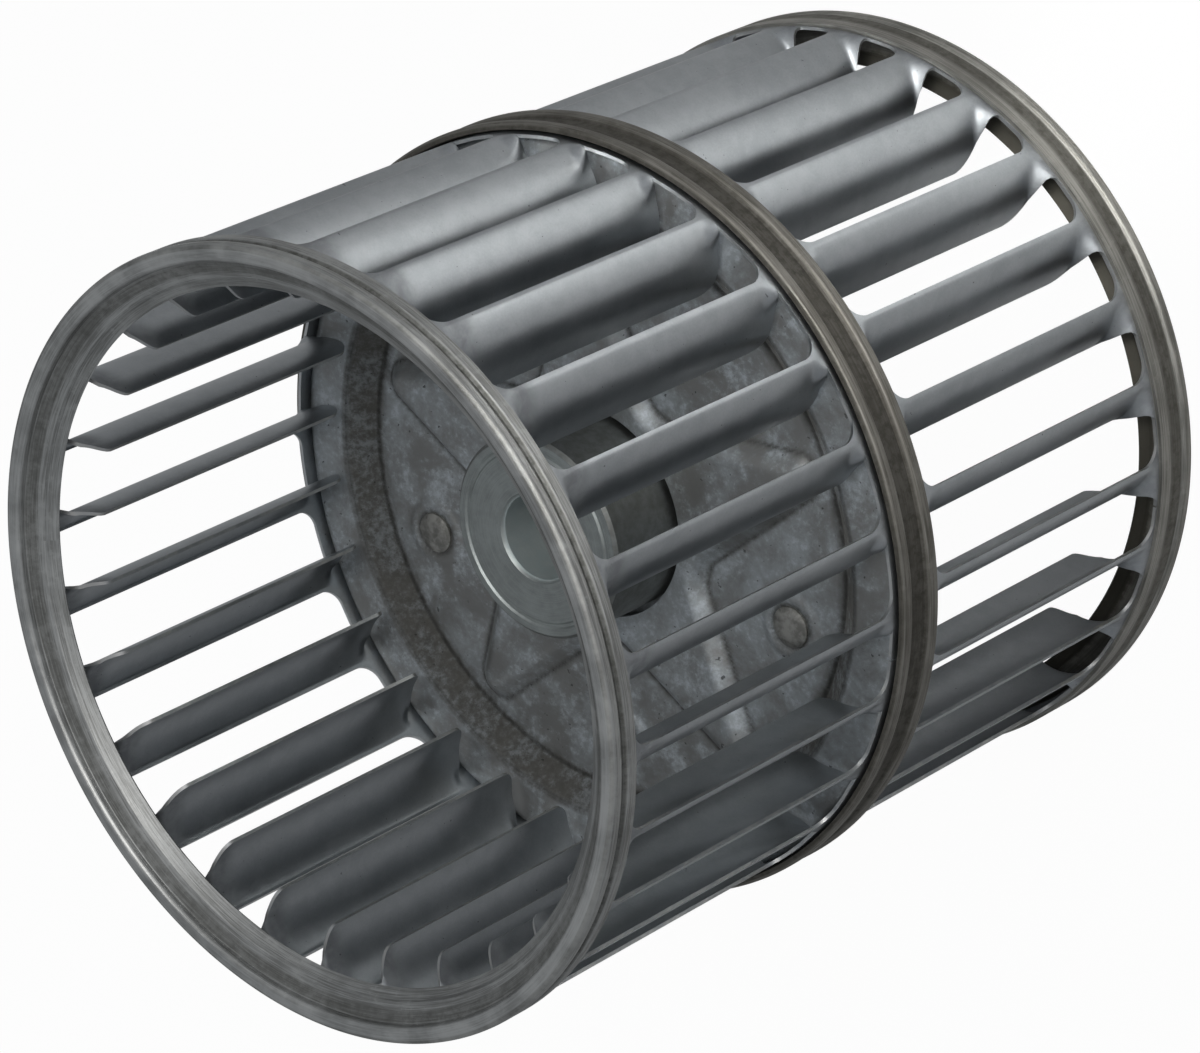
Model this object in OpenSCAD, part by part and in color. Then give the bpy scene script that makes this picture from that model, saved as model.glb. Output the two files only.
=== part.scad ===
// Double-inlet blower wheel with forward-curved blades, in pressed and rolled sheet steel.
// The shaft axis is Z. The origin is on that axis, halfway between the two end rings.

/* [Wheel] */
// Outside radius of the end rings
wheel_r = 57.15; // [54:0.05:62]
// Distance from the middle of the wheel to each end
half_width = 64.3; // [62:0.1:80]
// Height of the centre ring's middle above the middle of the wheel
centre_z = 1; // [-6:0.1:6]

/* [Blades] */
// Number of blades in each strip
blade_count = 28; // [24:1:30]
// Thickness of the blade strip's sheet
strip_t = 0.5; // [0.4:0.05:0.8]
// Straight distance from a blade's outer edge to its inner edge
blade_chord = 10.3; // [9:0.1:11.5]
// Angle between a blade's chord and the radius
blade_tilt = 24.9; // [18:0.1:30]
// Angle that a blade's section turns through
blade_turn = 70; // [50:1:85]
// Turning position of the upper strip
upper_phase = 348.8; // [0:0.1:360]
// Turning position of the lower strip
lower_phase = 350.9; // [0:0.1:360]
// Sheet left between two windows at a blade's outer edge
web_w = 0.9; // [0.7:0.1:1.4]
// Corner radius of a window on the side that the blade is bent from
root_fillet = 3; // [1.5:0.1:4]
// Corner radius of a window on its other side
edge_fillet = 1; // [0.5:0.1:1.5]
// Length over which a blade narrows towards an end ring
blade_taper = 7.3; // [4:0.1:10]
// Width of a blade where it meets the strip's margin by an end ring
blade_neck = 3; // [2:0.1:5]
// Radius of a blade's free corner beside the centre ring
blade_corner = 1.8; // [1:0.1:3]
// Plain margin that shows between a window and the centre ring
centre_margin = 0.7; // [0.2:0.1:2]
// Plain margin that shows between a window and an end ring
end_margin = 0.3; // [0.2:0.1:2]
// Width of the slit where a strip's two ends meet
seam_gap = 0.3; // [0.2:0.05:0.6]

/* [End rings] */
// Thickness of the rings' sheet
ring_t = 0.6; // [0.5:0.05:0.8]
// Height of the upper ring's outer wall
upper_wall_h = 4.5; // [4.4:0.1:9]
// Height of the lower ring's outer wall
lower_wall_h = 7.9; // [4.4:0.1:9]
// Radial width of a ring's rolled rim
rim_w = 2.55; // [2.4:0.05:3.2]
// Flat width on the crest of the rim
rim_flat = 0.6; // [0.3:0.1:0.9]
// Distance from the rim's bend down to the middle of the crimped groove
crimp_drop = 1.4; // [1.35:0.05:1.8]
// Depth of the crimped groove
crimp_depth = 0.6; // [0.2:0.05:0.65]
// Radial width from a ring's outside to the edge of its inlet lip
lip_w = 6.75; // [5.5:0.05:8]
// Distance from the end down to the lip's edge
lip_drop = 4.2; // [3.8:0.1:6]

/* [Centre ring] */
// Height of the centre ring
band_h = 8; // [7:0.1:11]
// How far the centre ring's two beads stand out past the end rings
band_proud = 0.8; // [0.2:0.05:1]
// Height of each bead
bead_h = 1.9; // [1.5:0.1:2.5]

/* [Centre disc] */
// Thickness of the centre disc
disc_t = 0.8; // [0.6:0.05:1.2]
// Height of the raised outer zone above the pads
zone_rise = 3.4; // [2:0.1:5]
// Width of the raised outer zone, with the bend into the flange
zone_w = 7.4; // [6:0.1:8]
// Width of the ramp up to the outer zone
ramp_w = 3.8; // [3.6:0.1:6]
// Height of the flange that turns down from the outer zone and holds the blade strips
flange_h = 6.4; // [5.4:0.1:7]
// Number of arms on the pressed star, and of rivets between them
arm_count = 5; // [5:1:5]
// Direction of the first arm
arm_phase = 167; // [0:1:360]
// Distance from the arms' tips to the foot of the ramp
arm_gap = 2.5; // [0.4:0.1:3]
// Distance from the axis to the foot of an arm's side
arm_side = 15.4; // [14.8:0.1:16]
// Radius of the hollows between the arms
arm_hollow = 5; // [4:0.1:6]
// Height of the star above the pads
arm_rise = 2.2; // [1.2:0.1:2.8]
// Radial gap between the disc's centre hole and the hub
hub_gap = 0.8; // [0.4:0.1:1]

/* [Hub plate and rivets] */
// Thickness of the plate under the disc
plate_t = 1.5; // [1:0.1:2.5]
// Distance from the rivets' centres to the edge of the plate
plate_edge = 4; // [3:0.1:5]
// Distance from the foot of the ramp in to the rivets' centres
rivet_inset = 9; // [7:0.1:10]
// Radius of a rivet's shank
rivet_r = 1.6; // [1.2:0.1:1.8]
// Radius of a rivet's head
rivet_head_r = 3.1; // [2.6:0.1:3.4]
// Height of a rivet's head
rivet_head_h = 0.8; // [0.5:0.05:1.2]

/* [Hub] */
// Radius of the hub
hub_r = 15.2; // [14:0.1:15.4]
// Height of the hub above the plate
hub_h = 15.4; // [12:0.1:24]
// Radius of the bore
bore_r = 6.35; // [4:0.05:8]
// Width of the chamfer round the bore
bore_chamfer = 0.5; // [0.3:0.05:1.5]
// Radius of the neck that passes through the plate
neck_r = 11; // [10:0.1:12.5]
// Width of the lip that is swaged over the plate
swage_w = 1.3; // [0.8:0.1:2]
// Thickness of the swaged lip
swage_h = 1.1; // [0.6:0.1:2]
// Radius of the set screw
screw_r = 3.1; // [2:0.05:3.2]
// Depth of the set screw's outer end below the side of the hub
screw_sunk = 0.75; // [0.3:0.05:2]
// Height of the set screw above the plate
screw_z = 8.2; // [6:0.1:10]
// Direction of the set screw
screw_dir = 290; // [0:1:360]
// Clearance between the set screw and its hole
screw_gap = 0.02; // [0.01:0.01:0.1]

/* [Hidden] */
$fn = 96;
galvanised = [0.66, 0.68, 0.69];
rolled = [0.58, 0.58, 0.55];
plated = [0.62, 0.66, 0.64];
bronzed = [0.52, 0.46, 0.38];

// Strip, blade and ring sizes that follow from the values above
strip_r = wheel_r - ring_t;
pitch = 360 / blade_count;
tip_r = strip_r - strip_t / 2;
bend_r = blade_chord / 2 / sin(blade_turn / 2);
free_r = norm([tip_r - blade_chord * cos(blade_tilt), blade_chord * sin(blade_tilt)]);
corner_r = 3;
envelope_in_r = free_r - 0.4;
window_w = 2 * strip_r * sin(pitch / 2) - web_w;
upper_window = [centre_z + band_h / 2 + centre_margin, half_width - upper_wall_h - end_margin];
lower_window = [-half_width + lower_wall_h + end_margin, centre_z - band_h / 2 - centre_margin];
rim_bend = (rim_w - rim_flat - ring_t) / 2;
margin_end = half_width - rim_bend - ring_t / 2 - 0.1;
crimp_z = rim_bend + ring_t / 2 + crimp_drop;

// Disc, plate and hub sizes that follow from the values above
pad_z = centre_z - 1;
pad_top = pad_z + disc_t;
flange_r = strip_r - strip_t;
zone_in_r = flange_r - zone_w;
ramp_r = zone_in_r - ramp_w;
arm_tip_r = ramp_r - arm_gap;
rivet_circle = ramp_r - rivet_inset;
plate_r = rivet_circle + plate_edge;
half_arm = 360 / arm_count;
nose_r = (arm_side - arm_tip_r * cos(half_arm)) / (1 - cos(half_arm));
hollow_c = (arm_side + arm_hollow) / cos(half_arm / 2);
arm_slope = 1;
rivet_dir = arm_phase + half_arm / 2;
hub_hole_r = hub_r + hub_gap;

// Points along an arc
function arc_points(c, r, a0, a1, n) =
    [for (i = [0:n]) let (a = a0 + (a1 - a0) * i / n) c + r * [cos(a), sin(a)]];

// Unit vector along v, and v turned a quarter turn
function unit(v) = v / norm(v);
function left(v) = [-v[1], v[0]];

// Outward step at corner i of a path, so that both neighbouring edges move by one unit
function corner_step(p, i) =
    let (a = i == 0 ? unit(p[1] - p[0]) : unit(p[i] - p[i - 1]),
         b = i == len(p) - 1 ? a : unit(p[i + 1] - p[i]),
         m = unit(left(a) + left(b)))
    m / (m * left(a));

// Outline between two lines that run beside a path, a and b away from it on its left
function between(p, a, b) = concat(
    [for (i = [0:len(p) - 1]) p[i] + a * corner_step(p, i)],
    [for (i = [len(p) - 1:-1:0]) p[i] + b * corner_step(p, i)]);

// Outline of a sheet of thickness t whose middle follows a path
function sheet(p, t) = between(p, t / 2, -t / 2);

// Middle of an end ring's outer wall where its groove is crimped, with the groove at height z
function crimp(z) =
    let (r = wheel_r - ring_t / 2)
    [[r, z - 0.85], [r - crimp_depth, z - 0.3], [r - crimp_depth, z + 0.3], [r, z + 0.85]];

// Window outline: y runs round the wheel and x along it, with the larger fillets at low y
function window_outline(len) =
    let (x = len / 2, y = window_w / 2, a = root_fillet, b = edge_fillet)
    concat(arc_points([x - a, -y + a], a, -90, 0, 5), arc_points([x - b, y - b], b, 0, 90, 4),
           arc_points([-x + b, y - b], b, 90, 180, 4), arc_points([-x + a, -y + a], a, 180, 270, 5));

// Radius and length outline of a blade, from the centre ring's side at y = 0 to the end ring's side
function blade_outline(len) =
    let (lean = atan2(tip_r - blade_neck - envelope_in_r, blade_taper),
         back = corner_r * tan(lean / 2), x = envelope_in_r)
    concat([[tip_r + 0.02, -0.3], [tip_r + 0.02, len + 0.3], [tip_r - blade_neck, len + 0.3],
            [tip_r - blade_neck, len]],
           arc_points([x + corner_r, len - blade_taper - back], corner_r, 180 - lean, 180, 5),
           arc_points([x + blade_corner, blade_corner], blade_corner, 180, 270, 4),
           [[tip_r - blade_neck, 0], [tip_r - blade_neck, -0.3]]);

module blade_section() {
    far = bend_r / cos(blade_turn / 2) + 1;
    translate([tip_r, 0]) rotate(180 + blade_tilt)
        translate([blade_chord / 2, -bend_r * cos(blade_turn / 2)])
            intersection() {
                difference() {
                    circle(r = bend_r);
                    circle(r = bend_r - strip_t);
                }
                polygon([[0, 0], far * [cos(90 + blade_turn / 2), sin(90 + blade_turn / 2)],
                         far * [cos(90 - blade_turn / 2), sin(90 - blade_turn / 2)]]);
            }
}

// One louvred strip: blades over a window range, and margins out to low and high
module blade_strip(window, low, high, phase) {
    length = window[1] - window[0];
    middle = (window[1] + window[0]) / 2;
    difference() {
        rotate_extrude() polygon(strip_wall(low, high));
        for (k = [0:blade_count - 1])
            rotate(phase + (k + 0.5) * pitch) translate([strip_r - 3, 0, middle])
                rotate([0, 90, 0]) linear_extrude(5) polygon(window_outline(length));
        rotate(phase + pitch / 2) translate([strip_r - 3, -seam_gap / 2, low - 1])
            cube([5, seam_gap, high - low + 2]);
    }
    intersection() {
        translate([0, 0, window[0] - 1]) linear_extrude(length + 2)
            for (k = [0:blade_count - 1]) rotate(phase + k * pitch) blade_section();
        if (high > half_width / 2)
            rotate_extrude() polygon([for (p = blade_outline(length)) [p[0], window[0] + p[1]]]);
        else
            rotate_extrude() polygon([for (p = blade_outline(length)) [p[0], window[1] - p[1]]]);
    }
}

// Section of a strip's wall, which lies inside the end ring's wall and follows its groove
function strip_wall(low, high) =
    let (side = high > half_width / 2 ? 1 : -1, r = wheel_r - ring_t / 2)
    between(concat([[r, low]], crimp(side * (half_width - crimp_z)), [[r, high]]),
            ring_t / 2, ring_t / 2 + strip_t);

module upper_blade_strip() {
    color(galvanised) blade_strip(upper_window, centre_z + 0.05, margin_end, upper_phase);
}

module lower_blade_strip() {
    color(galvanised) blade_strip(lower_window, -margin_end, centre_z - 0.05, lower_phase);
}

// End ring with its crest at z = 0 and its wall below: outer wall, rolled rim and inlet lip
module end_ring(wall_h) {
    wall = wheel_r - ring_t / 2;
    inner = wheel_r - rim_w + ring_t / 2;
    inlet_r = wheel_r - lip_w;
    step_r = inlet_r + 1.4;
    rotate_extrude() polygon(sheet(concat(
        [[wall, -wall_h]],
        crimp(-crimp_z),
        arc_points([wall - rim_bend, -rim_bend - ring_t / 2], rim_bend, 0, 90, 4),
        arc_points([inner + rim_bend, -rim_bend - ring_t / 2], rim_bend, 90, 165, 3),
        [[inner - 0.25, -rim_bend - 0.8], [step_r + 0.2, -lip_drop + 1.55], [step_r - 0.2, -lip_drop + 0.95],
         [inlet_r, -lip_drop]]), ring_t));
}

module upper_end_ring() {
    color(rolled) translate([0, 0, half_width]) end_ring(upper_wall_h);
}

module lower_end_ring() {
    color(rolled) translate([0, 0, -half_width]) mirror([0, 0, 1]) end_ring(lower_wall_h);
}

// Centre ring: two beads, with a wide hollow between them that is pressed onto the strips
module centre_ring() {
    low_r = strip_r + ring_t / 2;
    top_r = wheel_r + band_proud - ring_t / 2;
    z = band_h / 2;
    half = [[strip_r + ring_t / 2 + 0.02, z - ring_t / 2], [top_r, z - ring_t * 0.9],
            [top_r, z - bead_h + 0.3], [low_r, z - bead_h - 0.4]];
    color(rolled) translate([0, 0, centre_z]) rotate_extrude()
        polygon(sheet(concat([for (p = half) [p[0], -p[1]]], [for (i = [len(half) - 1:-1:0]) half[i]]), ring_t));
}

// Outline of the star's foot
function star_outline() = [for (k = [0:arm_count - 1])
    let (a = arm_phase + k * half_arm)
    each concat(arc_points((arm_tip_r - nose_r) * [cos(a), sin(a)], nose_r, a - half_arm, a + half_arm, 6),
                arc_points(hollow_c * [cos(a + half_arm / 2), sin(a + half_arm / 2)], arm_hollow,
                           a + half_arm + 180, a + 180, 4))];

// Solid star between two heights above its foot, with sloping sides
module star_block(z0, z1) {
    share0 = 1 - z0 * arm_slope / arm_side;
    share1 = 1 - z1 * arm_slope / arm_side;
    translate([0, 0, z0]) linear_extrude(z1 - z0, scale = share1 / share0) polygon(share0 * star_outline());
}

module centre_disc() {
    mid = pad_z + disc_t / 2;
    zone = mid + zone_rise;
    wall_r = flange_r - disc_t / 2;
    color(galvanised) difference() {
        union() {
            rotate_extrude() polygon(sheet(concat([[hub_hole_r - 0.5, mid], [ramp_r, mid], [zone_in_r, zone]],
                arc_points([wall_r - 1, zone - 1], 1, 90, 0, 3), [[wall_r, zone - flange_h]]), disc_t));
            translate([0, 0, pad_top]) star_block(-disc_t / 2, arm_rise);
            each_rivet() translate([0, 0, pad_top]) rivet_collar();
        }
        translate([0, 0, pad_z]) star_block(-0.2, arm_rise);
        translate([0, 0, pad_z - 1]) cylinder(r = hub_hole_r, h = disc_t + arm_rise + 2);
        each_rivet() translate([0, 0, pad_z - 1]) cylinder(r = rivet_r, h = disc_t + 2, $fn = 32);
    }
}

// Low raised collar round a rivet's head
module rivet_collar() {
    rotate_extrude($fn = 48) polygon([[rivet_head_r + 0.5, -0.2], [rivet_head_r + 0.6, 0.25],
        [rivet_head_r + 1, 0.4], [rivet_head_r + 1.7, -0.2]]);
}

module each_rivet() {
    for (k = [0:arm_count - 1]) rotate(rivet_dir + k * half_arm) translate([rivet_circle, 0, 0]) children();
}

module hub_plate() {
    color(galvanised) translate([0, 0, pad_z - plate_t]) difference() {
        cylinder(r = plate_r, h = plate_t);
        translate([0, 0, -1]) cylinder(r = neck_r, h = plate_t + 2);
        each_rivet() translate([0, 0, -1]) cylinder(r = rivet_r, h = plate_t + 2, $fn = 32);
    }
}

module rivets() {
    low = pad_z - plate_t;
    color(bronzed) each_rivet() rotate_extrude($fn = 48) polygon([
        [0, low - rivet_head_h], [rivet_head_r - 0.4, low - rivet_head_h], [rivet_head_r, low - 0.3],
        [rivet_head_r, low], [rivet_r, low], [rivet_r, pad_top], [rivet_head_r, pad_top],
        [rivet_head_r, pad_top + 0.3], [rivet_head_r - 0.4, pad_top + rivet_head_h],
        [0, pad_top + rivet_head_h]]);
}

module hub() {
    low = -plate_t - swage_h;
    ring_cut = 0.25;
    color(plated) translate([0, 0, pad_z]) difference() {
        rotate_extrude() polygon([
            [bore_r, low + bore_chamfer / 2], [bore_r + bore_chamfer / 2, low], [neck_r + swage_w * 0.6, low],
            [neck_r + swage_w, -plate_t - swage_h * 0.4], [neck_r + swage_w, -plate_t], [neck_r, -plate_t],
            [neck_r, 0], [hub_r, 0], [hub_r, hub_h - 0.5], [hub_r - 0.5, hub_h], [hub_r - 1.5, hub_h],
            [hub_r - 1.8, hub_h - ring_cut], [hub_r - 2.2, hub_h - ring_cut], [hub_r - 2.5, hub_h],
            [bore_r + bore_chamfer, hub_h], [bore_r, hub_h - bore_chamfer]]);
        translate([0, 0, screw_z]) rotate([0, 90, screw_dir])
            cylinder(r = screw_r + screw_gap, h = hub_r + 2, $fn = 48);
    }
}

// Set screw with a hexagonal socket, standing just clear of the shaft
module set_screw() {
    start = bore_r + 0.3;
    screw_len = hub_r - screw_sunk - start;
    socket = 2.4;
    color(bronzed) translate([0, 0, pad_z + screw_z]) rotate([0, 90, screw_dir]) translate([0, 0, start])
        difference() {
            rotate_extrude($fn = 48) polygon([[0, 0], [screw_r - 1, 0], [screw_r, 0.8],
                [screw_r, screw_len - 0.4], [screw_r - 0.4, screw_len], [0, screw_len]]);
            translate([0, 0, screw_len - socket]) cylinder(r = screw_r * 0.58, h = socket + 1, $fn = 6);
        }
}

upper_blade_strip();
lower_blade_strip();
upper_end_ring();
lower_end_ring();
centre_ring();
centre_disc();
hub_plate();
hub();
rivets();
set_screw();
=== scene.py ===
import math

import bmesh
import bpy
import numpy as np
from mathutils import Matrix, Vector


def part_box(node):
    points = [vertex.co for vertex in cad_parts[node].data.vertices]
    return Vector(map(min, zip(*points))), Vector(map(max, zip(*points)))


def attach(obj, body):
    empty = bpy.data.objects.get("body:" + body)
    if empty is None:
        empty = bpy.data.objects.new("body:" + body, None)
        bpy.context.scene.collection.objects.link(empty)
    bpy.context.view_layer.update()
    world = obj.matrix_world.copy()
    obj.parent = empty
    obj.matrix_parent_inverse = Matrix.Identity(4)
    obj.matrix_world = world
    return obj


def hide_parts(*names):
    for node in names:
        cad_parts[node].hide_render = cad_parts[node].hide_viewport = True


# Blower wheel in galvanised sheet steel. Lengths below are in millimetres until a mesh is made.

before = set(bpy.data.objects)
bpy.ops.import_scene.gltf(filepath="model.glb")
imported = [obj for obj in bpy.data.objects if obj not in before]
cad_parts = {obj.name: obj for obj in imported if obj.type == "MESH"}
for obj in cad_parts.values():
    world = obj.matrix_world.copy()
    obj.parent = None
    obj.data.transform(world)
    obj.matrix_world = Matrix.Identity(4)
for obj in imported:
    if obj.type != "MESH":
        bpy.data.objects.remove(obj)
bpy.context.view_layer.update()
mm = 0.001


def reach(node):
    # lowest and highest corner of a CAD node in millimetres
    return [[v / mm for v in corner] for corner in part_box(node)]


wheel = {
    "radius": reach("upper_end_ring")[1][0],
    "top": reach("upper_end_ring")[1][2],
    "bottom": reach("lower_end_ring")[0][2],
    "upperWall": reach("upper_end_ring")[0][2],   # edge of the upper ring's outer wall
    "lowerWall": reach("lower_end_ring")[1][2],
    "ringSheet": 0.6,
    "stripSheet": 0.5,
    "padLevel": reach("hub_plate")[1][2],         # underside of the disc's pads
    "bandTop": reach("centre_ring")[1][2],
    "bandBottom": reach("centre_ring")[0][2],
}
wheel["stripMid"] = wheel["radius"] - wheel["ringSheet"] - wheel["stripSheet"] / 2
print("frame loaded, wheel radius", round(wheel["radius"], 2), "mm")


# Shader maths

class Wire:
    # one output socket, so that a sum of masks reads as a sum
    def __init__(self, finish, socket):
        self.finish = finish
        self.socket = socket

    def maths(self, operation, first, second):
        return self.finish.add("ShaderNodeMath", {"operation": operation}, {0: first, 1: second})

    def __add__(self, other):
        return self.maths("ADD", self, other)

    def __radd__(self, other):
        return self.maths("ADD", other, self)

    def __sub__(self, other):
        return self.maths("SUBTRACT", self, other)

    def __rsub__(self, other):
        return self.maths("SUBTRACT", other, self)

    def __mul__(self, other):
        return self.maths("MULTIPLY", self, other)

    def __rmul__(self, other):
        return self.maths("MULTIPLY", other, self)

    def __pow__(self, other):
        return self.maths("POWER", self, other)

    def __abs__(self):
        return self.maths("ABSOLUTE", self, 0)

    def swing(self):
        # a noise around nought instead of around a half
        return self - 0.5


def weighed(weights, *wires):
    # the wires' sum, each times its own weight
    total = wires[0] * weights[0]
    for wire, weight in zip(wires[1:], weights[1:]):
        total = total + wire * weight
    return total


class Finish:
    # a material under construction
    def __init__(self, name):
        self.material = bpy.data.materials.new(name)
        self.material.use_nodes = True
        self.nodes = self.material.node_tree.nodes
        self.links = self.material.node_tree.links
        self.nodes.clear()

    def add(self, kind, settings=None, values=None, out=0):
        node = self.nodes.new(kind)
        for key, value in (settings or {}).items():
            setattr(node, key, value)
        for key, value in (values or {}).items():
            if isinstance(value, Wire):
                self.links.new(value.socket, node.inputs[key])
            else:
                node.inputs[key].default_value = value
        return Wire(self, node.outputs[out]) if node.outputs else None

    def place(self):
        return self.add("ShaderNodeTexCoord", out="Object")

    def painted(self, name):
        # a value that the mesh carries
        return self.add("ShaderNodeAttribute", {"attribute_name": name}, out="Fac")

    def noise(self, look, at=None):
        # look holds spots per millimetre, detail, roughness and distortion
        spots, detail, rough, distort = look
        return self.add("ShaderNodeTexNoise", {}, {
            "Vector": at or self.place(), "Scale": spots / mm, "Detail": detail, "Roughness": rough,
            "Distortion": distort})

    def swept(self, look, pull, spot):
        # noise drawn out round the axis; pull holds the scale across the marks and along them
        away, turn, height = spot
        across, along = pull
        at = self.add("ShaderNodeCombineXYZ", {}, {0: away * across, 1: turn * along, 2: height * across})
        return self.noise(look, at)

    def spread(self, value, low, high, toLow=0.0, toHigh=1.0):
        return self.add("ShaderNodeMapRange", {"interpolation_type": "SMOOTHSTEP"}, {
            "Value": value, "From Min": low, "From Max": high, "To Min": toLow, "To Max": toHigh})

    def within(self, over, start, full, clear, done):
        # a mask that rises from start to full and falls from clear to done
        return self.spread(over, start, full) * self.spread(over, clear, done, 1.0, 0.0)

    def blend(self, share, first, second):
        return self.add("ShaderNodeMix", {"data_type": "RGBA"}, {0: share, 6: first, 7: second}, out=2)

    def round(self):
        # distance from the axis, direction round it and height, each as a wire
        x = self.add("ShaderNodeSeparateXYZ", {}, {0: self.place()})
        y = Wire(self, x.socket.node.outputs[1])
        z = Wire(self, x.socket.node.outputs[2])
        away = (x * x + y * y) ** 0.5
        return away, x.maths("ARCTAN2", y, x), z

    def relief(self, height, deep, under=None):
        # deep is the relief's real depth in millimetres
        values = {"Height": height, "Distance": deep * mm, "Strength": 1.0}
        if under:
            values["Normal"] = under
        return self.add("ShaderNodeBump", {}, values)

    def metal(self, colour, rough, normal, metallic=1.0):
        shader = self.add("ShaderNodeBsdfPrincipled", {}, {
            "Base Color": colour, "Roughness": rough, "Metallic": metallic, "Normal": normal})
        self.add("ShaderNodeOutputMaterial", {}, {"Surface": shader})
        return self.material


def rgb(red, green, blue):
    return (red, green, blue, 1.0)


# In the looks below, a Mix holds weights, a Span the two values that a noise is stretched between, and a Fade
# such a span with the mask's strength at each of its ends. Radii and heights are in metres.

stripLook = {
    "light": rgb(0.455, 0.475, 0.49), "dark": rgb(0.375, 0.395, 0.41), "speck": rgb(0.16, 0.16, 0.165),
    # the cut colour is a painted highlight along the blades' cut edges
    "cut": rgb(0.66, 0.66, 0.64),
    "cloud": (0.06, 4, 0.6, 0), "grain": (3.0, 2, 0.6, 0), "smear": (0.35, 3, 0.6, 0.4),
    "spots": (1.6, 1, 0.4, 0), "dents": (0.12, 2, 0.5, 0),
    "toneMix": (0.4, 0.35, 0.25), "toneSpan": (0.36, 0.64), "spotSpan": (0.77, 0.82), "spotted": 0.8,
    "cutSheenFade": (0.35, 0.65, 0.9, 0.3), "shadedEndFade": (0.35, 0.65, 0.45, 0.2),
    "ends": (0.0525, 0.0560),                     # heights between which the blade ends are painted darker, a painted shade that hides their glints, and made rougher
    "rough": 0.36, "roughMix": (0.25, 0.12, 0.2, 0.22), "grainDeep": 0.004, "dentDeep": 0.03,
}


def bladeSteel(look):
    f = Finish("galvanisedStrip")
    height = f.round()[2]
    cloud, grain, smear = f.noise(look["cloud"]), f.noise(look["grain"]), f.noise(look["smear"])
    speck = f.spread(f.noise(look["spots"]), *look["spotSpan"])
    ends = f.spread(abs(height), *look["ends"])
    share = f.spread(weighed(look["toneMix"], cloud, smear, grain), *look["toneSpan"])
    tone = f.blend(share, look["dark"], look["light"])
    tone = f.blend(speck * look["spotted"], tone, look["speck"])
    # painted highlight: the cut edges are lightened, broken up by the smear noise
    tone = f.blend(f.painted("cut") * f.spread(smear, *look["cutSheenFade"]), tone, look["cut"])
    # painted shade: the blade ends are darkened towards the speck colour to damp their glints
    tone = f.blend(ends * f.spread(smear, *look["shadedEndFade"]), tone, look["speck"])
    rough = look["rough"] + weighed(look["roughMix"], cloud.swing(), grain.swing(), speck, ends)
    dents = f.relief(f.noise(look["dents"]), look["dentDeep"])
    return f.metal(tone, rough, f.relief(grain, look["grainDeep"], dents))


# painted shade, broken up like dirt by the wear noise, darkens each ring's hollow, between two radii or two
# heights, and the slope inside its rim
ringLooks = {
    "upper": {
        "light": rgb(0.47, 0.475, 0.465), "dark": rgb(0.23, 0.23, 0.22), "shadeAndGrime": rgb(0.10, 0.10, 0.09),
        "hollow": (0.0563, 0.0565, 0.0568, 0.0571), "by": "radius", "slope": (0.0524, 0.0530, 0.0541, 0.0546),
        "rough": 0.5, "grooveDeep": 0.012, "grainDeep": 0.006, "dishDeep": 0.02,
    },
    "lower": {
        # the lower ring's hollow is a band found by height; its darkness is painted shade, and its colours
        # are darker and browner than the upper ring's
        "light": rgb(0.40, 0.39, 0.36), "dark": rgb(0.20, 0.195, 0.175), "shadeAndGrime": rgb(0.10, 0.095, 0.08),
        "hollow": (-0.0618, -0.0609, -0.0592, -0.0583), "by": "height",
        "slope": (0.0490, 0.0500, 0.0542, 0.0550),
        "rough": 0.52, "grooveDeep": 0.014, "grainDeep": 0.008, "dishDeep": 0.25,
    },
    "centre": {
        # the centre ring is the same sheet as the end rings; its much darker colours are painted shade for
        # the dark that its groove reflects
        "light": rgb(0.27, 0.26, 0.235), "dark": rgb(0.13, 0.122, 0.105), "shadeAndGrime": rgb(0.075, 0.07, 0.06),
        "hollow": (0.0560, 0.0562, 0.0573, 0.0578), "by": "radius", "slope": (0.0490, 0.0500, 0.0542, 0.0550),
        "rough": 0.55, "grooveDeep": 0.016, "grainDeep": 0.01, "dishDeep": 0.02,
    },
}
# what all three rings share
ringMarks = {
    "streak": (1.0, 4, 0.65, 0), "streakPull": (4.0, 0.004),
    "fine": (1.0, 2, 0.6, 0), "finePull": (11.0, 0.012), "cloud": (0.12, 4, 0.6, 0), "wear": (0.7, 3, 0.7, 0),
    "toneMix": (0.45, 0.3, 0.25), "toneSpan": (0.38, 0.62),
    "rubMix": (0.6, 0.4), "rubSpan": (0.52, 0.62), "rubbed": 0.45,
    "shadeAndDirtMix": (1.0, 0.7), "shadeAndDirtFade": (0.3, 0.6, 0.95, 0.65),
    "crest": (0.0636, 0.0641), "crestSheenFade": (0.35, 0.65, 0.15, 0.5), "bareSheen": rgb(0.62, 0.62, 0.60),
    "roughMix": (0.3, 0.2, 0.15, -0.08),
}


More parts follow.
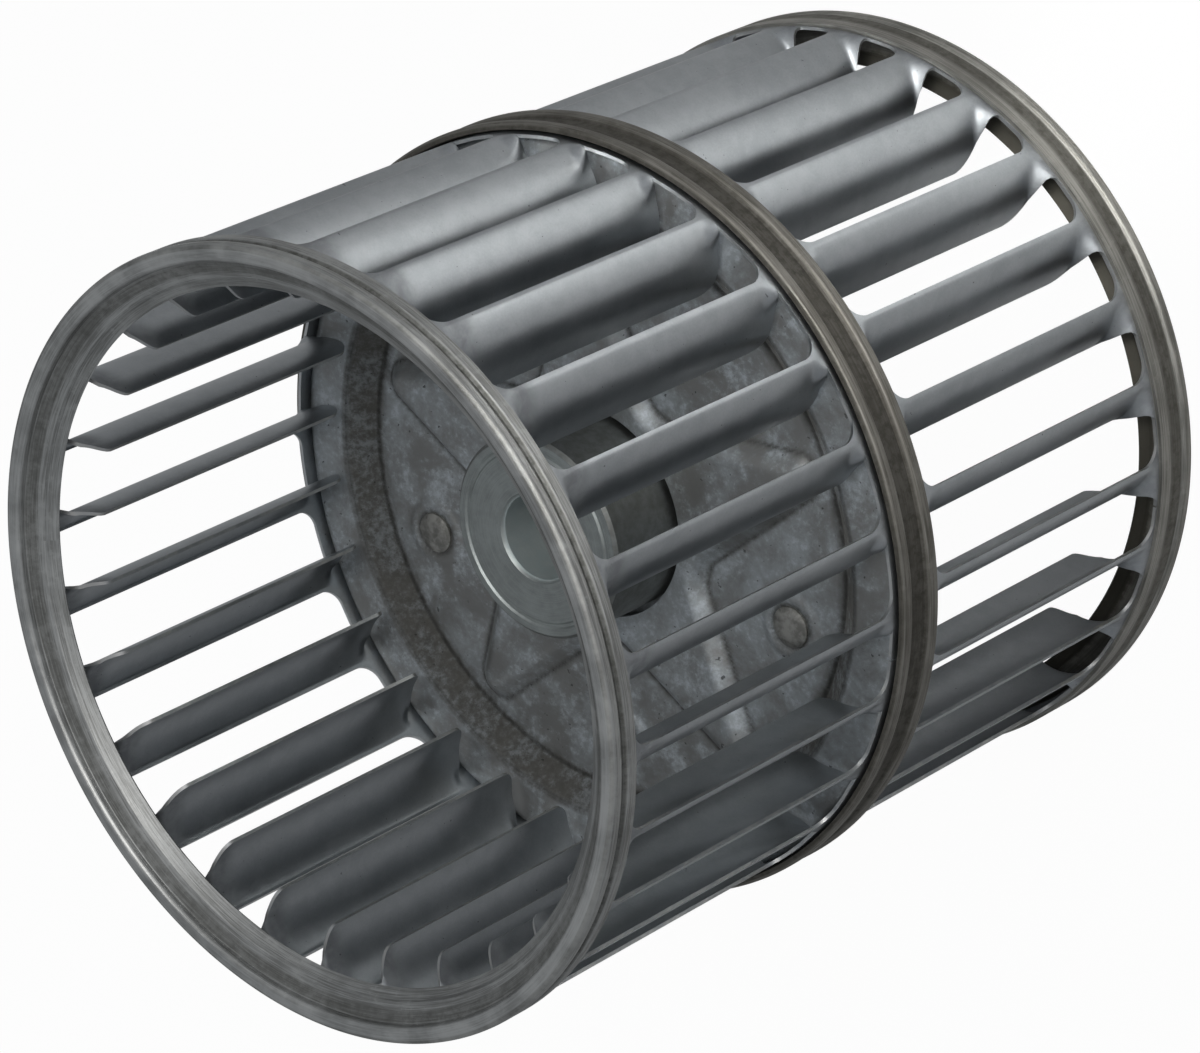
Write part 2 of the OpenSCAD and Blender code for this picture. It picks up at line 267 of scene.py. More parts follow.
def ringSteel(name, look):
    f = Finish(name)
    spot = f.round()
    away, _, height = spot
    streak = f.swept(ringMarks["streak"], ringMarks["streakPull"], spot)
    fine = f.swept(ringMarks["fine"], ringMarks["finePull"], spot)
    cloud, wear = f.noise(ringMarks["cloud"]), f.noise(ringMarks["wear"])
    share = f.spread(weighed(ringMarks["toneMix"], streak, fine, cloud), *ringMarks["toneSpan"])
    tone = f.blend(share, look["dark"], look["light"])
    rubbed = f.spread(weighed(ringMarks["rubMix"], wear, cloud), *ringMarks["rubSpan"]) * ringMarks["rubbed"]
    tone = f.blend(rubbed, tone, look["light"])
    # painted shade: the hollow and the slope inside the rim are darkened towards the darkest colour
    hollow = f.within(height if look["by"] == "height" else away, *look["hollow"])
    shadedAndStained = weighed(ringMarks["shadeAndDirtMix"], hollow, f.within(away, *look["slope"]))
    shadeAndDirt = shadedAndStained * f.spread(wear, *ringMarks["shadeAndDirtFade"])
    tone = f.blend(shadeAndDirt, tone, look["shadeAndGrime"])
    # the crest is lightened and smoothed: bare worn metal, and a painted highlight along it
    crest = f.spread(abs(height), *ringMarks["crest"])
    tone = f.blend(crest * f.spread(cloud, *ringMarks["crestSheenFade"]), tone, ringMarks["bareSheen"])
    rough = look["rough"] + weighed(ringMarks["roughMix"], cloud.swing(), wear.swing(), shadeAndDirt, crest)
    normal = f.relief(1 - hollow, look["dishDeep"], f.relief(wear, look["grainDeep"]))
    return f.metal(tone, rough, f.relief(fine + streak, look["grooveDeep"], normal))


discLook = {
    "light": rgb(0.66, 0.70, 0.73), "mid": rgb(0.46, 0.49, 0.505), "dark": rgb(0.30, 0.30, 0.29),
    "brown": rgb(0.20, 0.195, 0.18), "pit": rgb(0.10, 0.10, 0.10), "shadeAndGrime": rgb(0.10, 0.10, 0.095),
    "cloud": (0.05, 4, 0.6, 0.3), "mottle": (0.15, 5, 0.62, 0.3), "crumb": (0.9, 4, 0.75, 0),
    "pits": (0.8, 2, 0.6, 0),
    "toneMix": (0.55, 0.3, 0.15), "toneSpan": (0.40, 0.60), "lightMix": (0.5, 0.5), "lightSpan": (0.50, 0.66),
    "lightened": 0.75, "scuffAndShadeMix": (0.6, 0.4), "scuffAndShadeFade": (0.40, 0.60, 0.95, 0.4),
    "ramp": (0.0436, 0.0446, 0.0478, 0.0486),     # radii of the ramp, painted browner and darker: its scuffed zinc, and painted shade
    "shadeAndGrimeFade": (0.3, 0.6, 1.0, 0.7), "pitSpan": (0.70, 0.74), "pitted": 0.7,
    "rough": 0.58, "roughMix": (0.35, 0.3, 0.2, 0.2), "crumbDeep": 0.06, "mottleDeep": 0.06, "pitDeep": 0.03,
}


def discSteel(look):
    f = Finish("mottledDisc")
    away = f.round()[0]
    cloud, mottle, crumb = f.noise(look["cloud"]), f.noise(look["mottle"]), f.noise(look["crumb"])
    pit = f.spread(f.noise(look["pits"]), *look["pitSpan"])
    scuffedAndShaded = f.within(away, *look["ramp"])
    shadeAndGrime = f.painted("shadeAndGrime")
    share = f.spread(weighed(look["toneMix"], mottle, cloud, crumb), *look["toneSpan"])
    tone = f.blend(share, look["dark"], look["mid"])
    share = f.spread(weighed(look["lightMix"], mottle, crumb), *look["lightSpan"]) * look["lightened"]
    tone = f.blend(share, tone, look["light"])
    # the ramp is painted browner and darker: scuffed zinc, and painted shade
    share = scuffedAndShaded * f.spread(weighed(look["scuffAndShadeMix"], crumb, mottle), *look["scuffAndShadeFade"])
    tone = f.blend(share, tone, look["brown"])
    # painted shade: the creases and the rivets' feet are darkened, broken up by the crumb noise
    tone = f.blend(shadeAndGrime * f.spread(crumb, *look["shadeAndGrimeFade"]), tone, look["shadeAndGrime"])
    tone = f.blend(pit * look["pitted"], tone, look["pit"])
    rough = look["rough"] + weighed(look["roughMix"], mottle.swing(), scuffedAndShaded, pit, shadeAndGrime)
    normal = f.relief(crumb * (1 + scuffedAndShaded), look["crumbDeep"], f.relief(mottle, look["mottleDeep"]))
    return f.metal(tone, rough, f.relief(1 - pit, look["pitDeep"], normal))


hubLook = {
    "light": rgb(0.43, 0.46, 0.45), "dark": rgb(0.30, 0.32, 0.31), "side": rgb(0.20, 0.20, 0.19),
    "lining": rgb(0.33, 0.38, 0.38),
    "lathe": (1.0, 3, 0.7, 0), "lathePull": (9.0, 0.002),
    "cloud": (0.1, 4, 0.6, 0), "stain": (0.6, 4, 0.65, 0),
    "toneMix": (0.4, 0.35, 0.25), "toneSpan": (0.35, 0.62),
    "outside": (0.0145, 0.0148), "sideShadeFade": (0.3, 0.65, 0.9, 0.6),     # radii past which the side is painted darker, as painted shade from the parts round it
    "bore": (0.0064, 0.0067, 1.0, 0.0), "liningFade": (0.35, 0.65, 1.0, 0.6), "linedMetal": 0.7,
    "rough": 0.5, "roughMix": (0.2, 0.2), "latheDeep": 0.012, "stainDeep": 0.01,
}


def hubSteel(look):
    f = Finish("turnedHub")
    spot = f.round()
    away = spot[0]
    lathe = f.swept(look["lathe"], look["lathePull"], spot)
    cloud, stain = f.noise(look["cloud"]), f.noise(look["stain"])
    share = f.spread(weighed(look["toneMix"], lathe, cloud, stain), *look["toneSpan"])
    tone = f.blend(share, look["dark"], look["light"])
    # painted shade: the hub's side is darkened where the strips and the disc crowd it
    tone = f.blend(f.spread(away, *look["outside"]) * f.spread(stain, *look["sideShadeFade"]), tone, look["side"])
    inner = f.spread(away, *look["bore"])
    tone = f.blend(inner * f.spread(stain, *look["liningFade"]), tone, look["lining"])
    rough = look["rough"] + weighed(look["roughMix"], cloud.swing(), lathe.swing())
    normal = f.relief(lathe, look["latheDeep"], f.relief(stain, look["stainDeep"]))
    return f.metal(tone, rough, normal, 1 - inner * look["linedMetal"])


rivetLook = {
    "light": rgb(0.46, 0.45, 0.42), "dark": rgb(0.24, 0.235, 0.215), "cloud": (0.5, 4, 0.65, 0),
    "grain": (4.0, 2, 0.6, 0), "toneSpan": (0.35, 0.65), "rough": 0.5, "roughBy": 0.3,
    "grainDeep": 0.01, "cloudDeep": 0.06,
}


def rivetSteel(look):
    f = Finish("brownedRivet")
    cloud, grain = f.noise(look["cloud"]), f.noise(look["grain"])
    tone = f.blend(f.spread(cloud, *look["toneSpan"]), look["dark"], look["light"])
    rough = look["rough"] + cloud.swing() * look["roughBy"]
    return f.metal(tone, rough, f.relief(grain, look["grainDeep"], f.relief(cloud, look["cloudDeep"])))


steel = {
    "strip": bladeSteel(stripLook), "disc": discSteel(discLook), "hub": hubSteel(hubLook),
    "rivet": rivetSteel(rivetLook), "upperRing": ringSteel("rolledRing", ringLooks["upper"]),
    "lowerRing": ringSteel("shadeBandedRing", ringLooks["lower"]),
    "centreRing": ringSteel("shadedBand", ringLooks["centre"]),
}
print("finishes mixed")


# Sheet sections

sheetWork = {
    "arcStep": math.radians(12), "fewest": 3,     # angle between points on a bend, and their fewest steps
    "straight": 0.001,                            # radians short of a straight line that count as none
    "mitre": 0.3,                                 # keeps a sharp corner of a sheet from running away
}


def cornered(points):
    # a path through points (radius, height, bend radius), with an arc at each inner point
    path = [Vector(points[0][:2])]
    for before, here, after in zip(points, points[1:], points[2:]):
        corner = Vector(here[:2])
        inward = (Vector(before[:2]) - corner).normalized()
        onward = (Vector(after[:2]) - corner).normalized()
        half = inward.angle(onward) / 2
        bend = here[2]
        if bend == 0 or abs(half - math.pi / 2) < sheetWork["straight"]:
            path.append(corner)
            continue
        centre = corner + (inward + onward).normalized() * bend / math.sin(half)
        start = corner + inward * bend / math.tan(half) - centre
        finish = corner + onward * bend / math.tan(half) - centre
        steps = max(sheetWork["fewest"], round(start.angle(finish) / sheetWork["arcStep"]))
        sweep = start.angle_signed(finish)
        for i in range(steps + 1):
            turned = Matrix.Rotation(-sweep * i / steps, 2) @ start
            path.append(centre + turned)
    path.append(Vector(points[-1][:2]))
    return path


def sheetOutline(path, sheet):
    # closed outline of a sheet whose middle follows the path
    sides = []
    for i, here in enumerate(path):
        back = (here - path[i - 1]).normalized() if i else (path[1] - here).normalized()
        fore = (path[i + 1] - here).normalized() if i < len(path) - 1 else back
        behind, ahead = Vector((-back.y, back.x)), Vector((-fore.y, fore.x))
        left = (behind + ahead).normalized()
        sides.append(left / max(sheetWork["mitre"], left.dot(behind)) * sheet / 2)
    return [p + s for p, s in zip(path, sides)] + [p - s for p, s in reversed(list(zip(path, sides)))]


# Geometry Nodes trees

class Plan:
    # a Geometry Nodes tree with named inputs
    def __init__(self, name, inputs):
        self.tree = bpy.data.node_groups.new(name, "GeometryNodeTree")
        self.tree.interface.new_socket("Geometry", in_out="INPUT", socket_type="NodeSocketGeometry")
        for label, kind in inputs.items():
            self.tree.interface.new_socket(label, in_out="INPUT", socket_type="NodeSocket" + kind)
        self.tree.interface.new_socket("Geometry", in_out="OUTPUT", socket_type="NodeSocketGeometry")
        self.start = self.tree.nodes.new("NodeGroupInput")

    def add(self, kind, settings=None, values=None, out=0):
        node = self.tree.nodes.new(kind)
        for key, value in (settings or {}).items():
            setattr(node, key, value)
        for key, value in (values or {}).items():
            if isinstance(value, bpy.types.NodeSocket):
                self.tree.links.new(value, node.inputs[key])
            else:
                node.inputs[key].default_value = value
        return node.outputs[out]

    def given(self, label):
        return self.start.outputs[label]

    def end(self, geometry):
        result = self.tree.nodes.new("NodeGroupOutput")
        self.tree.links.new(geometry, result.inputs[0])
        return self.tree


def lathePlan():
    # turns a flat profile (distance past the spin radius, minus height) round Z
    plan = Plan("turnProfile", {"Radius": "Float", "Steps": "Int", "Finish": "Material"})
    profile = plan.add("GeometryNodeMeshToCurve", {}, {0: plan.given("Geometry")})
    ring = plan.add("GeometryNodeCurvePrimitiveCircle", {}, {
        "Resolution": plan.given("Steps"), "Radius": plan.given("Radius")})
    skin = plan.add("GeometryNodeCurveToMesh", {}, {"Curve": ring, "Profile Curve": profile})
    smooth = plan.add("GeometryNodeSetShadeSmooth", {}, {0: skin})
    real = plan.add("GeometryNodeRealizeInstances", {}, {0: smooth})
    return plan.end(plan.add("GeometryNodeSetMaterial", {}, {0: real, "Material": plan.given("Finish")}))


def roundPlan():
    # repeats the given cell round Z and welds the copies together
    plan = Plan("repeatRound", {"Count": "Int", "Pitch": "Float", "Phase": "Float", "Weld": "Float",
                                "Finish": "Material"})
    spots = plan.add("GeometryNodePoints", {}, {"Count": plan.given("Count")})
    number = plan.add("GeometryNodeInputIndex")
    swung = plan.add("ShaderNodeMath", {"operation": "MULTIPLY_ADD"}, {
        0: number, 1: plan.given("Pitch"), 2: plan.given("Phase")})
    turn = plan.add("ShaderNodeCombineXYZ", {}, {2: swung})
    copies = plan.add("GeometryNodeInstanceOnPoints", {}, {
        "Points": spots, "Instance": plan.given("Geometry"), "Rotation": turn})
    real = plan.add("GeometryNodeRealizeInstances", {}, {0: copies})
    welded = plan.add("GeometryNodeMergeByDistance", {}, {0: real, "Distance": plan.given("Weld")})
    smooth = plan.add("GeometryNodeSetShadeSmooth", {}, {0: welded})
    return plan.end(plan.add("GeometryNodeSetMaterial", {}, {0: smooth, "Material": plan.given("Finish")}))


trees = {"lathe": lathePlan(), "round": roundPlan()}


def meshObject(name, points, faces, edges=()):
    mesh = bpy.data.meshes.new(name)
    mesh.from_pydata([tuple(p) for p in points], list(edges), list(faces))
    thing = bpy.data.objects.new(name, mesh)
    bpy.context.scene.collection.objects.link(thing)
    return thing


def wrapped(rows, count):
    # faces between closed rows that have the same count of points
    faces = []
    for low in range(0, (rows - 1) * count, count):
        for i in range(count):
            ahead = (i + 1) % count
            faces.append((low + i, low + ahead, low + count + ahead, low + count + i))
    return faces


def settled(thing):
    # keeps what the object's modifiers make as its plain mesh
    result = bpy.data.meshes.new_from_object(thing.evaluated_get(bpy.context.evaluated_depsgraph_get()))
    thing.modifiers.clear()
    old = thing.data
    thing.data = result
    bpy.data.meshes.remove(old)


def grown(thing, tree, inputs):
    # runs a tree on an object and keeps the result
    modifier = thing.modifiers.new("growth", "NODES")
    modifier.node_group = tree
    for item in tree.interface.items_tree:
        if item.in_out == "INPUT" and item.name in inputs:
            modifier[item.identifier] = inputs[item.name]
    settled(thing)


def thickened(thing, sheet, even):
    # gives a surface the sheet's thickness; the cut edges take a second material slot, where there is one
    wall = thing.modifiers.new("wall", "SOLIDIFY")
    wall.thickness = sheet * mm
    wall.offset = 0
    wall.use_even_offset = even
    wall.material_offset_rim = 1
    settled(thing)


shellWork = {"weld": 0.0005 * mm, "sharp": 35}    # points closer than weld are one; degrees of a real edge


def finished(thing, finish, sharp=shellWork["sharp"]):
    # closes a shell, points its faces outwards and marks its real edges
    work = bmesh.new()
    work.from_mesh(thing.data)
    bmesh.ops.remove_doubles(work, verts=work.verts, dist=shellWork["weld"])
    bmesh.ops.recalc_face_normals(work, faces=work.faces)
    work.to_mesh(thing.data)
    work.free()
    thing.data.materials.clear()
    thing.data.materials.append(finish)
    thing.data.shade_smooth()
    thing.data.set_sharp_from_angle(angle=math.radians(sharp))
    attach(thing, "root")


lathe = {"spin": 40.0, "steps": 360}              # radius of the circle that carries a profile, its points


def turnedRing(name, path, finish, level, flip=False):
    # a ring of sheet whose middle follows a path in (radius, height), turned round the axis
    side = -1 if flip else 1
    outline = sheetOutline(path, wheel["ringSheet"])
    points = [((p.x - lathe["spin"]) * mm, -(level + side * p.y) * mm, 0) for p in outline]
    edges = [(i, (i + 1) % len(points)) for i in range(len(points))]
    thing = meshObject(name, points, [], edges)
    grown(thing, trees["lathe"], {
        "Radius": lathe["spin"] * mm, "Steps": lathe["steps"], "Finish": steel[finish]})
    finished(thing, steel[finish])
    return thing


# End rings

endRing = {
    "rim": 2.55, "crestFlat": 0.6, "inlet": 50.4, "lipDrop": 4.2, "bend": 0.35,
    "crimpDrop": 1.4, "crimpDeep": 0.6, "crimpHalf": 0.85, "crimpFlat": 0.3,   # the groove, its half widths
    "leg": 0.8, "lean": 0.25, "legBend": 0.5,     # the rim's inner leg, below the rim's bend
    "stepOut": 1.4, "stepHalf": 0.2, "stepTop": 1.55, "stepFoot": 0.95, "stepBend": 0.4,   # over the lip
}


def crimpLevel():
    # distance from the crest to the middle of the groove
    rimBend = (endRing["rim"] - endRing["crestFlat"] - wheel["ringSheet"]) / 2
    return rimBend + wheel["ringSheet"] / 2 + endRing["crimpDrop"]


def endRingPath(wallHeight):
    sheet = wheel["ringSheet"]
    wall = wheel["radius"] - sheet / 2
    inner = wheel["radius"] - endRing["rim"] + sheet / 2
    rimBend = (endRing["rim"] - endRing["crestFlat"] - sheet) / 2
    dip = wall - endRing["crimpDeep"]
    groove = -crimpLevel()
    half, flat = endRing["crimpHalf"], endRing["crimpFlat"]
    lip = -endRing["lipDrop"]
    step = endRing["inlet"] + endRing["stepOut"]
    bend = endRing["bend"]
    return cornered([
        (wall, -wallHeight, 0), (wall, groove - half, bend), (dip, groove - flat, bend),
        (dip, groove + flat, bend), (wall, groove + half, bend), (wall, -sheet / 2, rimBend),
        (inner, -sheet / 2, rimBend),
        (inner - endRing["lean"], -rimBend - endRing["leg"], endRing["legBend"]),
        (step + endRing["stepHalf"], lip + endRing["stepTop"], endRing["stepBend"]),
        (step - endRing["stepHalf"], lip + endRing["stepFoot"], endRing["stepBend"]),
        (endRing["inlet"], lip, 0)])


def endRings():
    upperPath = endRingPath(wheel["top"] - wheel["upperWall"])
    lowerPath = endRingPath(wheel["lowerWall"] - wheel["bottom"])
    upper = turnedRing("upperRing", upperPath, "upperRing", wheel["top"])
    lower = turnedRing("lowerRing", lowerPath, "lowerRing", wheel["bottom"], flip=True)
    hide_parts("upper_end_ring")
    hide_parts("lower_end_ring")


endRings()
print("end rings turned")


# Centre ring

band = {
    "middle": (wheel["bandTop"] + wheel["bandBottom"]) / 2, "height": wheel["bandTop"] - wheel["bandBottom"],
    "proud": reach("centre_ring")[1][0] - wheel["radius"], "bead": 1.9, "bend": 0.35,
    "beadSlope": 0.3, "beadEdge": 0.9, "foot": 0.5, "footBend": 0.5, "lift": 0.02,   # beadEdge is in sheets
}


def centreRing():
    sheet = wheel["ringSheet"]
    low = wheel["radius"] - sheet / 2
    high = wheel["radius"] + band["proud"] - sheet / 2
    half = band["height"] / 2
    upper = [(low, half - band["bead"] - band["foot"], band["footBend"]),
             (high, half - band["bead"] + band["beadSlope"], band["bend"]),
             (high, half - sheet * band["beadEdge"], band["bend"]), (low + band["lift"], half - sheet / 2, 0)]
    lower = [(r, -z, bend) for r, z, bend in reversed(upper)]
    ring = turnedRing("centreBand", cornered(lower + upper), "centreRing", band["middle"])
    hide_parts("centre_ring")


centreRing()
print("centre ring turned")


# Blade strips

blade = {
    "count": 28, "chord": 10.3, "tilt": 24.9, "turn": 70.0, "bend": 0.8, "web": 0.6,
    "bigFillet": 3.0, "smallFillet": 1.0, "neck": 4.6, "taper": 4.2, "curl": 2.4, "seam": 0.3, "corner": 2.6,
    "neckRun": 0.8, "neckEase": 1.0, "fullEase": 1.8,   # length of the neck, softness of its ends
    "joined": 1.3, "peel": 3.0,                   # a torn end is joined to the margin so far, then peels off
    "dip": (1.2, 0.65),                           # half widths of a margin's groove, at its top and its floor
    "step": 0.1,                                  # share of a margin's width where its second row lies
    # places of points along a window from either end in mm, and across a blade and a web as shares
    "along": [0, 0.05, 0.2, 0.45, 0.8, 1.2, 1.6, 2.0, 2.4, 2.8, 3.2, 3.6, 4.0, 4.5, 5.0, 5.6, 6.3, 7.5,
              10, 14],
    "flap": [0, 0.03, 0.07, 0.12, 0.18, 0.25, 0.33, 0.42, 0.52, 0.62, 0.72, 0.82, 0.91, 1],
    "webs": [-1, -0.72, -0.45, -0.2],
    "slit": 0.0015, "slitDeep": 1,                # half angle of the slit in radians, how deep its faces lie
    "weld": 0.01,
}
# margins that show beside a window, and how far a strip ends short of the centre ring's middle and a crest
stripGap = {"centre": 0.7, "end": 0.3, "meet": 0.05, "crest": 1.1}
# a strip's windows run from the base beside the centre ring to the tip beside an end ring
strips = {
    "upper": {"phase": 348.8, "base": wheel["bandTop"] + stripGap["centre"],
              "tip": wheel["upperWall"] - stripGap["end"],
              "inner": band["middle"] + stripGap["meet"], "outer": wheel["top"] - stripGap["crest"]},
    "lower": {"phase": 350.9, "base": wheel["bandBottom"] - stripGap["centre"],
              "tip": wheel["lowerWall"] + stripGap["end"],
              "inner": band["middle"] - stripGap["meet"], "outer": wheel["bottom"] + stripGap["crest"]},
}


def bladeLine():
    # functions that give the section's point at a run from the blade's outer edge, flat and bent
    radius = wheel["stripMid"]
    turn = math.radians(blade["turn"])
    tilt = math.radians(blade["tilt"])
    curve = blade["chord"] / 2 / math.sin(turn / 2)
    lead = turn / 2 + tilt                      # from straight inwards to the blade's first direction
    bendAngle = math.pi / 2 - lead
    ahead = blade["bend"] * math.tan(bendAngle / 2)

    def flat(run):
        return np.array([radius * math.cos(run / radius), -radius * math.sin(run / radius)])

    def bent(run):
        if run <= -ahead:
            return flat(run)
        here = np.array([radius, ahead])
        heading = -math.pi / 2                  # along the strip, towards the free edge
        left = run + ahead
        for size, sweep in ((blade["bend"], bendAngle), (curve, turn)):
            piece = min(left, size * sweep)
            swing = piece / size
            side = heading - math.pi / 2
            centre = here + size * np.array([math.cos(side), math.sin(side)])
            heading -= swing
            out = heading + math.pi / 2
            here = centre + size * np.array([math.cos(out), math.sin(out)])
            left -= piece
            if left <= 0:
                break
        return here

    return flat, bent, blade["bend"] * bendAngle - ahead + curve * turn


def softMin(a, b, ease):
    share = min(1, max(0, 0.5 + (b - a) / ease / 2))
    return b + (a - b) * share - ease * share * (1 - share)


def smooth(share):
    share = min(1, max(0, share))
    return share * share * (3 - 2 * share)


def fillet(v, radius):
    # how far a corner's arc stands off its side, at a distance v from the corner
    return radius - math.sqrt(radius ** 2 - (radius - v) ** 2) if v < radius else 0


def tipWidth(v, full):
    # width of the blade's flap at a distance v from the window's end by the end ring
    slope = (full - blade["neck"]) / (blade["taper"] - blade["neckRun"])
    cut = -softMin(-blade["neck"], -(blade["neck"] + (v - blade["neckRun"]) * slope), blade["neckEase"])
    return softMin(full, cut, blade["fullEase"]) + fillet(v, blade["smallFillet"])


def baseWidth(v, full):
    # the same by the centre ring, where only the free corner is rounded
    return full - fillet(v, blade["corner"])


def webEdge(v):
    # how far the web reaches from the blade's foot at that distance
    return blade["web"] + fillet(v, blade["bigFillet"])


def bladeCell(name, strip):
    # one pitch of the strip as a single sheet: margins, web and bent blade
    flat, bent, full = bladeLine()
    radius = wheel["stripMid"]
    span = 2 * math.pi * radius / blade["count"]
    rimTop = wheel["top"] - crimpLevel()
    side = 1 if strip["tip"] > strip["base"] else -1
    wide, narrow = blade["dip"]

    def dip(z):
        # the groove pressed into the margin inside the end ring
        off = abs(abs(z) - rimTop)
        return endRing["crimpDeep"] * min(1, max(0, (wide - off) / (wide - narrow)))

    def runs(v, width):
        return [webEdge(v) * s for s in blade["webs"]] + [width * s for s in blade["flap"]]

    def row(z, v, width, torn):
        # points across the blade at height z; a torn end peels off the margin past the neck
        line = []
        for run in runs(v, width):
            ease = smooth(v / blade["curl"])
            if torn:
                ease += (1 - ease) * smooth((run - blade["joined"]) / blade["peel"])
            here = flat(run) * (1 - ease) + bent(run) * ease
            line.append((here[0] * mm, here[1] * mm, z * mm))
        return line

    points, faces = [], []

    def patch(rows):
        start = len(points)
        count = len(rows[0])
        for line in rows:
            points.extend(line)
        for j in range(len(rows) - 1):
            for i in range(count - 1):
                a = start + j * count + i
                faces.append((a, a + 1, a + count + 1, a + count))

    patch([row(strip["base"] + side * v, v, baseWidth(v, full), True) for v in blade["along"]]
          + [row(strip["tip"] - side * v, v, tipWidth(v, full), False) for v in reversed(blade["along"])])

    # margins run the whole pitch: under the blade's foot, then along the window's straight edge
    seam = blade["seam"] / 2
    for edge, end, width, joined in ((strip["base"], strip["inner"], baseWidth(0, full), blade["joined"]),
                                     (strip["tip"], strip["outer"], tipWidth(0, full), full)):
        steps = [edge, edge + (end - edge) * blade["step"]]
        if end == strip["outer"]:
            steps += [side * (rimTop + s) for s in (-wide, -narrow, narrow, wide)]
        steps.append(end)
        foot = [run for run in runs(0, width) if run <= joined]
        straight = [foot[-1], span / 2 - seam, span / 2 + seam, span - webEdge(0)]
        for line in (foot, straight):
            patch([[tuple(c * mm for c in flat(run) * (1 - dip(z) / radius)) + (z * mm,) for run in line]
                   for z in steps])
    return meshObject(name, points, faces)


def markCutEdges(mesh):
    # turns the cut edges' material slot into a value on each face, which the finish reads to paint a
    # highlight on them
    slots = np.zeros(len(mesh.polygons), dtype=np.int32)
    mesh.polygons.foreach_get("material_index", slots)
    mesh.polygons.foreach_set("material_index", np.zeros_like(slots))
    cut = (slots == slots.max()).astype(np.float32)
    mesh.attributes.new("cut", "FLOAT", "FACE").data.foreach_set("value", cut)


def bladeStrip(name, node, strip):
    thing = bladeCell(name, strip)
    pitch = 2 * math.pi / blade["count"]
    phase = math.radians(strip["phase"])
    grown(thing, trees["round"], {"Count": blade["count"], "Pitch": -pitch, "Phase": phase,
                                  "Weld": blade["weld"] * mm, "Finish": steel["strip"]})

    def inSlit(face):
        # the strip's two ends meet in a narrow slit halfway between two blades
        middle = face.calc_center_median()
        off = math.remainder(math.atan2(middle.y, middle.x) - phase - pitch / 2, 2 * math.pi)
        return abs(off) < blade["slit"] and middle.xy.length > (wheel["stripMid"] - blade["slitDeep"]) * mm

    work = bmesh.new()
    work.from_mesh(thing.data)
    bmesh.ops.delete(work, geom=[face for face in work.faces if inSlit(face)], context="FACES")
    bmesh.ops.recalc_face_normals(work, faces=work.faces)
    work.to_mesh(thing.data)
    work.free()
    thing.data.materials.append(steel["strip"])
    thickened(thing, wheel["stripSheet"], even=True)
    markCutEdges(thing.data)
    finished(thing, steel["strip"])
    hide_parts(node)


bladeStrip("upperBlades", "upper_blade_strip", strips["upper"])
bladeStrip("lowerBlades", "lower_blade_strip", strips["lower"])
print("blade strips rolled")


# Centre disc

disc = {
    "sheet": 0.8, "hubGap": 0.8, "ramp": 44.85, "zoneIn": 48.65, "zoneRise": 3.4, "flange": 6.4,
    "rampStart": 2, "bends": (1.2, 1.6, 1.0),     # bends at the ramp's foot, its head and the flange
    "arms": 5, "armPhase": 167.0, "armTip": 42.35, "armSide": 15.4, "hollow": 5.0, "armRise": 2.2,
    "centre": 0.001,                              # an arm's rounded end has no direction this near its centre
    "slack": 0.15, "ease": 0.3,                   # shares of the arm's rise by which its edges are rounded
    "rivetCircle": 35.85, "collarIn": 3.6, "collarOut": 4.8, "collarRise": 0.35,
    "columns": 420, "step": 0.45, "sharp": 50,    # points round, length between rows, degrees of an edge
}
rivet = {
    "head": 3.1, "rise": 0.85, "edge": 0.3, "shank": 1.6, "sides": 40,
    "dome": ((1.2, 0.02), (2.1, 0.1), (2.7, 0.3)),   # radii on the head, and how far below its top each lies
    "corner": 0.08, "bevel": 0.1, "weld": 0.001,
}
# lines of painted shade and dirt along the creases: how far each lies from its edge, and its half width
shadeAndDirtLines = {"rivet": (0.25, 0.4), "rampFoot": (-0.3, 0.6), "rampHead": (0, 0.4), "star": (-0.1, 0.55)}
armShare = 2 * math.pi / disc["arms"]
armPhase = math.radians(disc["armPhase"])


def rivetGap(radius, angle):
    # distance from the nearest rivet's axis
    off = math.remainder(angle - armPhase - armShare / 2, armShare)
    return math.hypot(radius * math.cos(off) - disc["rivetCircle"], radius * math.sin(off))


def starDepth(x, y):
    # how far a point lies inside the star's foot, in millimetres, negative outside
    side, tip, hollow = disc["armSide"], disc["armTip"], disc["hollow"]
    nose = (side - tip * math.cos(armShare)) / (1 - math.cos(armShare))
    far = math.hypot(x, y)
    angle = math.remainder(math.atan2(y, x) - armPhase, armShare)
    px, py = far * math.cos(angle), far * abs(math.sin(angle))
    depth = side - (px * math.cos(armShare) + py * math.sin(armShare))
    nx, ny = px - (tip - nose), py
    if abs(math.atan2(ny, nx)) < armShare and math.hypot(nx, ny) > disc["centre"]:
        depth = nose - math.hypot(nx, ny)
    reachOut = (side + hollow) / math.cos(armShare / 2)
    hx, hy = px - reachOut * math.cos(armShare / 2), py - reachOut * math.sin(armShare / 2)
    if armShare / 2 <= math.remainder(math.atan2(hy, hx) - math.pi, 2 * math.pi) <= armShare:
        depth = math.hypot(hx, hy) - hollow
    return depth


def discHeight(radius, angle):
    # how high the star and the collars stand above the pads
    if radius >= disc["ramp"]:
        return 0
    depth = starDepth(radius * math.cos(angle), radius * math.sin(angle)) / disc["armRise"]
    t = min(1 + disc["slack"], max(-disc["slack"], depth))
    arm = min(1, max(0, softMin(1, -softMin(0, -t, disc["ease"]), disc["ease"])))
    middle = (disc["collarIn"] + disc["collarOut"]) / 2
    off = abs(rivetGap(radius, angle) - middle) / (disc["collarOut"] - disc["collarIn"])
    return disc["armRise"] * arm + disc["collarRise"] * smooth(1 - off)


